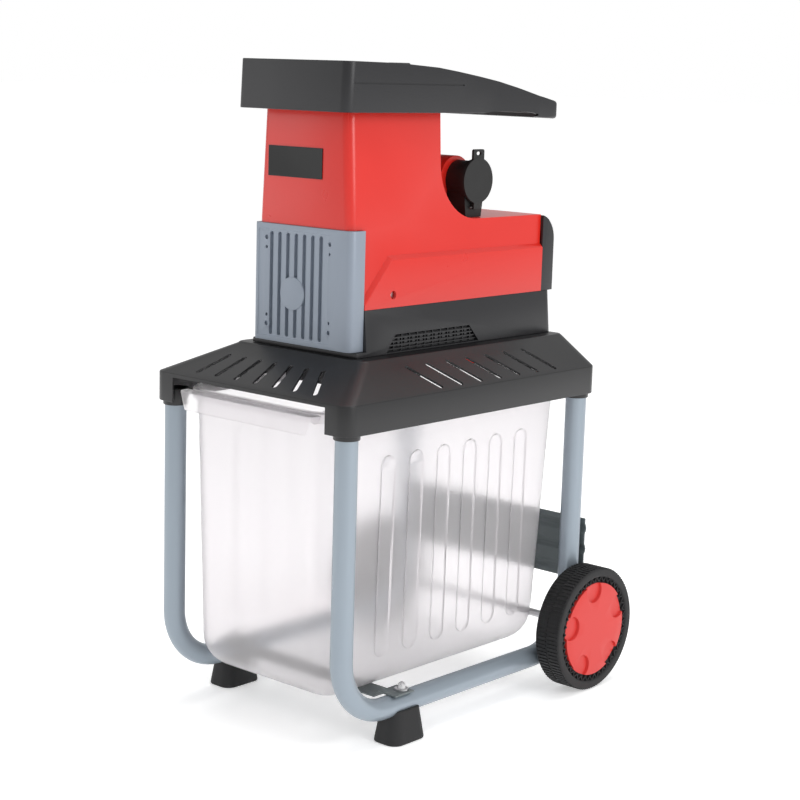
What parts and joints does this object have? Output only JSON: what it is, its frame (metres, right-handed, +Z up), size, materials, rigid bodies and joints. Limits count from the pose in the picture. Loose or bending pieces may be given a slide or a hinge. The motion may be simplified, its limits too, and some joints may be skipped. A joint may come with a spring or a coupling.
{
  "type": "wood chipper",
  "caption": "Electric roller garden shredder: feed hopper and motor housing on a wheeled tube frame, with a sliding translucent collection bin.",
  "frame": {"origin": "on the floor under the centre of the whole machine's bounding box", "axes": "+Z up; -Y is the front with the cutter end plate and the bin's handle; +Y is the wheel side; +X is the side with the plug inlet"},
  "size_m": [0.4786, 0.6343, 0.958],
  "materials": {
    "red_housing": "satin moulded plastic with a soft gloss",
    "black_plastic": "finely grained moulded plastic",
    "cast_grey": "painted die casting, satin",
    "tube_paint": "silver grey powder coat on steel tube",
    "bright_steel": "bright machined steel",
    "black_rubber": "matt black rubber",
    "milky_plastic": "translucent milky polypropylene",
    "crossbar_paint": "dark grey painted sheet",
    "motor_windings": "lacquered windings and laminations",
    "green_button": "gloss"
  },
  "bodies": {
    "stand": {"upper_housing": "red_housing", "deck_cover": "black_plastic", "left_front_leg_socket": "black_plastic", "left_rear_leg_socket": "black_plastic", "right_front_leg_socket": "black_plastic", "right_rear_leg_socket": "black_plastic", "lower_housing": "black_plastic", "left_vent_grille": "black_plastic", "right_vent_grille": "black_plastic", "rear_end_cover": "black_plastic", "hopper_top": "black_plastic", "label_plate": "black_plastic", "plug_inlet": "black_plastic", "discharge_chute": "black_plastic", "cutter_end_plate": "cast_grey", "roller_front_wall": "cast_grey", "gear_wall": "cast_grey", "left_side_frame": "tube_paint", "right_side_frame": "tube_paint", "wheel_axle": "bright_steel", "left_strap_nut": "bright_steel", "right_strap_nut": "bright_steel", "feed_chute": "bright_steel", "front_roller_bearing": "bright_steel", "rear_roller_bearing": "bright_steel", "inlet_line_pin": "bright_steel", "inlet_neutral_pin": "bright_steel", "inlet_earth_pin": "bright_steel", "inlet_hinge_pin": "bright_steel", "left_front_foot": "black_rubber", "right_front_foot": "black_rubber", "front_cross_strap": "crossbar_paint", "rear_crossbar": "crossbar_paint", "motor_stator": "motor_windings"},
    "left_wheel": {"left_tyre": "black_rubber", "left_wheel_hub": "black_plastic", "left_hub_cover": "red_housing"},
    "right_wheel": {"right_tyre": "black_rubber", "right_wheel_hub": "black_plastic", "right_hub_cover": "red_housing"},
    "bin": {"collection_bin": "milky_plastic"},
    "roller": {"cutting_roller": "bright_steel", "drive_gear": "bright_steel"},
    "rotor": {"motor_rotor": "bright_steel", "rotor_core": "bright_steel", "cooling_fan": "black_plastic"},
    "inlet_flap": {"inlet_cap": "black_plastic"},
    "start": {"start_button": "green_button"},
    "stop": {"stop_button": "red_housing"},
    "reset": {"overload_reset": "black_plastic"},
    "knob": {"direction_knob": "black_plastic"},
    "pressure_plate": {"counter_plate": "bright_steel"},
    "screw": {"adjusting_screw": "bright_steel"},
    "bin_lock": {"bin_lock_slider": "red_housing"}
  },
  "joints": [
    {"name": "left_wheel_spin", "type": "hinge", "parent": "stand", "child": "left_wheel", "pos_m": [-0.21675, 0.2207, 0.0969], "axis": [1, 0, 0], "continuous": true},
    {"name": "right_wheel_spin", "type": "hinge", "parent": "stand", "child": "right_wheel", "pos_m": [0.21675, 0.2207, 0.0969], "axis": [1, 0, 0], "continuous": true},
    {"name": "bin_slide", "type": "slide", "parent": "stand", "child": "bin", "axis": [0, -1, 0], "range_m": [0, 0.45]},
    {"name": "roller_spin", "type": "hinge", "parent": "stand", "child": "roller", "pos_m": [-0.018, -0.1217, 0.627], "axis": [0, 1, 0], "continuous": true},
    {"name": "rotor_spin", "type": "hinge", "parent": "stand", "child": "rotor", "pos_m": [0.018, 0.0883, 0.654], "axis": [0, 1, 0], "continuous": true},
    {"name": "inlet_cap_hinge", "type": "hinge", "parent": "stand", "child": "inlet_flap", "pos_m": [0.077, 0.0853, 0.747], "axis": [0, 1, 0], "range_deg": [0, 95], "stiffness_Nm_per_rad": 0.05, "springref_deg": -28.65},
    {"name": "start_press", "type": "slide", "parent": "stand", "child": "start", "axis": [0, -1, 0], "range_m": [0, 0.004], "stiffness_N_per_m": 300},
    {"name": "stop_press", "type": "slide", "parent": "stand", "child": "stop", "axis": [0, -1, 0], "range_m": [0, 0.004], "stiffness_N_per_m": 300},
    {"name": "reset_press", "type": "slide", "parent": "stand", "child": "reset", "axis": [0, -1, 0], "range_m": [0, 0.003], "stiffness_N_per_m": 300},
    {"name": "direction_turn", "type": "hinge", "parent": "stand", "child": "knob", "pos_m": [0.045, 0.2583, 0.67], "axis": [0, 1, 0], "range_deg": [-45, 45]},
    {"name": "adjusting_screw_turn", "type": "hinge", "parent": "stand", "child": "screw", "pos_m": [0.07, -0.1167, 0.631], "axis": [1, 0, 0], "range_deg": [0, 1081]},
    {"name": "pressure_plate_slide", "type": "slide", "parent": "stand", "child": "pressure_plate", "axis": [-1, 0, 0], "range_m": [0, 0.003]},
    {"name": "bin_lock_slide", "type": "slide", "parent": "stand", "child": "bin_lock", "axis": [0, 0, 1], "range_m": [-0.014, 0]}
  ],
  "couplings": [
    {"joint": "rotor_spin", "follows": "roller_spin", "ratio": -4},
    {"joint": "adjusting_screw_turn", "follows": "pressure_plate_slide", "rad_per_m": 6283.2}
  ]
}
